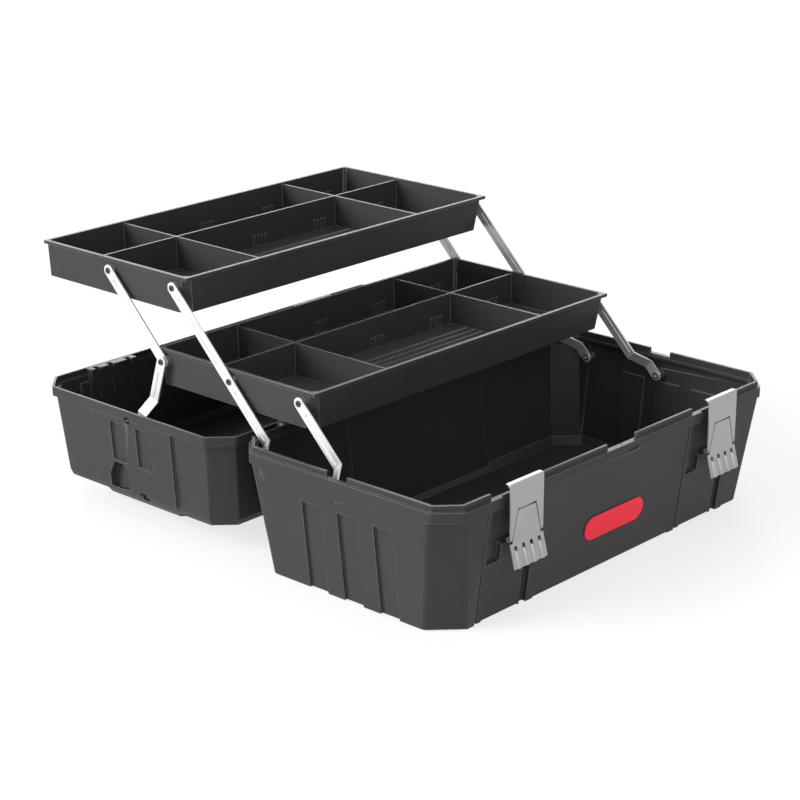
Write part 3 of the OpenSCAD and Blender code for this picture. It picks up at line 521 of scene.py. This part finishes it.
class MakeShells(bpy.types.Operator):
    """Tub and lid, moulded in one plastic"""
    bl_idname = "toolbox.make_shells"
    bl_label = "Make tub and lid"

    def execute(self, context):
        plastic = context.scene.toolbox_plastic
        material = plastic_material(plastic, "Moulded plastic", plastic.shell_colour,
                                    depth=0.3, rougher=0, specular=0.14)
        for node in SHELLS:
            softened(node, f"{node}_moulding", plastic.edge, material, SMALL_HOLE_EDGE)
        return {"FINISHED"}


class MakeHandle(bpy.types.Operator):
    """Folding carry handle in the lid"""
    bl_idname = "toolbox.make_handle"
    bl_label = "Make carry handle"

    def execute(self, context):
        plastic = context.scene.toolbox_plastic
        material = plastic_material(plastic, "Handle plastic", plastic.shell_colour,
                                    depth=0.4, rougher=0.08, specular=0.14)
        softened("carry_handle", "handle_grip", plastic.edge, material)
        return {"FINISHED"}


class MakeTrays(bpy.types.Operator):
    """Two trays with dividers, in a smoother plastic"""
    bl_idname = "toolbox.make_trays"
    bl_label = "Make trays"

    def execute(self, context):
        plastic = context.scene.toolbox_plastic
        material = plastic_material(plastic, "Tray plastic", plastic.tray_colour,
                                    depth=0.2, rougher=-0.04, specular=0.08)
        for node in TRAYS:
            softened(node, f"{node}_moulding", plastic.edge, material, SMALL_HOLE_EDGE)
        return {"FINISHED"}


class MakeLinks(bpy.types.Operator):
    """Zinc-plated link strips with pressed beads"""
    bl_idname = "toolbox.make_links"
    bl_label = "Make links"

    def execute(self, context):
        metal = context.scene.toolbox_metal
        material = metal_material(metal, "Link steel", metal.link_colour,
                                  spacing=0.0004, rougher=0, Metallic=0.6)
        for node in LINKS:
            softened(node, f"{node}_strip", metal.edge, material)
        return {"FINISHED"}


class MakeLatches(bpy.types.Operator):
    """Latch levers and hooks of pressed plate"""
    bl_idname = "toolbox.make_latches"
    bl_label = "Make latches"

    def execute(self, context):
        metal = context.scene.toolbox_metal
        material = metal_material(metal, "Latch steel", metal.latch_colour,
                                  spacing=0.0005, rougher=0.06, Metallic=0.75)
        for node in LATCHES:
            softened(node, f"{node}_plate", metal.edge, material)
        return {"FINISHED"}


class FinishPins(bpy.types.Operator):
    """Steel of the rivets and pins, blackened on the trays"""
    bl_idname = "toolbox.finish_pins"
    bl_label = "Finish rivets and pins"

    def execute(self, context):
        metal = context.scene.toolbox_metal
        bright = metal_material(metal, "Rivet steel", metal.link_colour,
                                spacing=0.0003, rougher=-0.05, Metallic=1)
        dark = metal_material(metal, "Blackened steel", metal.dark_colour,
                              spacing=0.0003, rougher=0, **{"Specular IOR Level": 0.4})
        dress_nodes(BRIGHT_PINS, bright)
        dress_nodes(TRAY_RIVETS, dark)
        return {"FINISHED"}


class MakeBadge(bpy.types.Operator):
    """Plain badge on the front"""
    bl_idname = "toolbox.make_badge"
    bl_label = "Make badge"

    def execute(self, context):
        badge = context.scene.toolbox_badge
        material = finish_material(
            "Badge red", shared("Mould grain", mould_grain_group), badge.colour,
            {"Grain size": 0.0015, "Depth": 0.04, "Roughness": 0.38, "Edge highlight": 0},
            {"Specular IOR Level": 0.22})
        softened("front_badge", "badge_plate", badge.edge, material)
        return {"FINISHED"}


# ---- stage ----------------------------------------------------------------

CAMERA_TURN = math.radians(-47.568)
CAMERA_RISE = math.radians(19.185)
CAMERA_ROLL = math.radians(-0.114)
CAMERA_PLACE = (-0.095475, 0.110261, 1.8842)  # right, up and back from the origin
LENS = 99.07
SENSOR_WIDTH = 36
VIEW_END = 50
FLOOR_SIZE = 14

# name, the way towards the light, watts per square metre, width in degrees
LAMPS = (
    ("Side light", (-0.8, 0.5, 0.4), 4.4, 40),
    ("Rear light", (0.66, 0.66, 0.36), 1.6, 40),
    ("Front light", (-0.5, -0.75, 0.42), 1.0, 50),
    ("Top light", (0, -0.1, 1), 0.9, 60),
)


def camera_axes():
    right = Vector((math.cos(CAMERA_TURN), math.sin(CAMERA_TURN), 0))
    back = Vector((math.sin(CAMERA_TURN) * math.cos(CAMERA_RISE),
                   -math.cos(CAMERA_TURN) * math.cos(CAMERA_RISE), math.sin(CAMERA_RISE)))
    return right, back.cross(right), back


def add_camera(context):
    right, up, back = camera_axes()
    place = right * CAMERA_PLACE[0] + up * CAMERA_PLACE[1] + back * CAMERA_PLACE[2]
    rolled_right = right * math.cos(CAMERA_ROLL) + up * math.sin(CAMERA_ROLL)
    rolled_up = up * math.cos(CAMERA_ROLL) - right * math.sin(CAMERA_ROLL)
    bpy.ops.object.camera_add()
    camera = context.object
    camera.name = "Camera"
    turn = Matrix((rolled_right, rolled_up, back)).transposed()
    camera.matrix_world = Matrix.Translation(place) @ turn.to_4x4()
    camera.data.lens = LENS
    camera.data.sensor_width = SENSOR_WIDTH
    camera.data.dof.use_dof = False
    camera.data.clip_end = VIEW_END
    context.scene.camera = camera


def add_lamp(context, name, side, strength, width):
    bpy.ops.object.light_add(type="SUN", location=side)
    lamp = context.object
    lamp.name = name
    lamp.data.energy = strength
    lamp.data.angle = math.radians(width)
    lamp.rotation_euler = (-Vector(side)).to_track_quat("-Z", "Y").to_euler()


def white_to_rays(tree, lit, white, factor):
    """Mixes a plain white into a shader for camera, glossy and transmission rays."""
    path = tree.nodes.new("ShaderNodeLightPath")
    seen = math_node(tree, "ADD", path.outputs["Is Camera Ray"], path.outputs["Is Glossy Ray"])
    seen = math_node(tree, "ADD", seen, path.outputs["Is Transmission Ray"], clamp=True)
    mix = tree.nodes.new("ShaderNodeMixShader")
    tree.links.new(math_node(tree, "MULTIPLY", seen, factor), mix.inputs["Fac"])
    tree.links.new(lit, mix.inputs[1])
    tree.links.new(white, mix.inputs[2])
    return mix.outputs[0]


def lay_floor(context, settings):
    bpy.ops.object.select_all(action="DESELECT")
    bpy.ops.mesh.primitive_plane_add(size=FLOOR_SIZE)
    floor = context.object
    floor.name = "Floor"
    material = bpy.data.materials.new("Floor")
    material.use_nodes = True
    tree = material.node_tree
    shader = tree.nodes["Principled BSDF"]
    shader.inputs["Base Color"].default_value = (*settings.floor_colour, 1)
    shader.inputs["Roughness"].default_value = 1
    shader.inputs["Specular IOR Level"].default_value = 0
    white = tree.nodes.new("ShaderNodeEmission")
    surface = tree.nodes["Material Output"].inputs["Surface"]
    tree.links.new(white_to_rays(tree, shader.outputs[0], white.outputs[0],
                                 settings.floor_white), surface)
    floor.data.materials.append(material)


def light_world(context, settings):
    world = bpy.data.worlds.new("Studio")
    context.scene.world = world
    world.use_nodes = True
    tree = world.node_tree
    sky = tree.nodes["Background"]
    sky.inputs["Color"].default_value = (1, 1, 1, 1)
    sky.inputs["Strength"].default_value = settings.sky
    white = tree.nodes.new("ShaderNodeBackground")
    white.inputs["Color"].default_value = (1, 1, 1, 1)
    surface = tree.nodes["World Output"].inputs["Surface"]
    tree.links.new(white_to_rays(tree, sky.outputs[0], white.outputs[0], 1.0), surface)


class BuildStage(bpy.types.Operator):
    """Floor, soft studio light and the camera"""
    bl_idname = "toolbox.build_stage"
    bl_label = "Build stage"

    def execute(self, context):
        settings = context.scene.toolbox_stage
        lay_floor(context, settings)
        light_world(context, settings)
        for lamp in LAMPS:
            add_lamp(context, *lamp)
        add_camera(context)
        context.scene.view_settings.view_transform = "Standard"
        return {"FINISHED"}


class ToolBoxPanel(bpy.types.Panel):
    bl_idname = "VIEW3D_PT_toolbox"
    bl_label = "Tool box"
    bl_space_type = "VIEW_3D"
    bl_region_type = "UI"
    bl_category = "Tool box"

    def draw(self, context):
        for operator in OPERATORS:
            self.layout.operator(operator.bl_idname)


OPERATORS = (MakeShells, MakeHandle, MakeTrays, MakeLinks, MakeLatches, FinishPins, MakeBadge,
             BuildStage)
SETTINGS = {
    "toolbox_plastic": PlasticSettings,
    "toolbox_metal": MetalSettings,
    "toolbox_badge": BadgeSettings,
    "toolbox_stage": StageSettings,
}


def register():
    for kind in (*SETTINGS.values(), *OPERATORS, ToolBoxPanel):
        bpy.utils.register_class(kind)
    for name, kind in SETTINGS.items():
        setattr(bpy.types.Scene, name, bpy.props.PointerProperty(type=kind))


def unregister():
    for name in SETTINGS:
        delattr(bpy.types.Scene, name)
    for kind in reversed((*SETTINGS.values(), *OPERATORS, ToolBoxPanel)):
        bpy.utils.unregister_class(kind)


def main():
    register()
    for name in ("make_shells", "make_handle", "make_trays", "make_links", "make_latches",
                 "finish_pins", "make_badge", "build_stage"):
        getattr(bpy.ops.toolbox, name)()


if __name__ == "__main__":
    main()
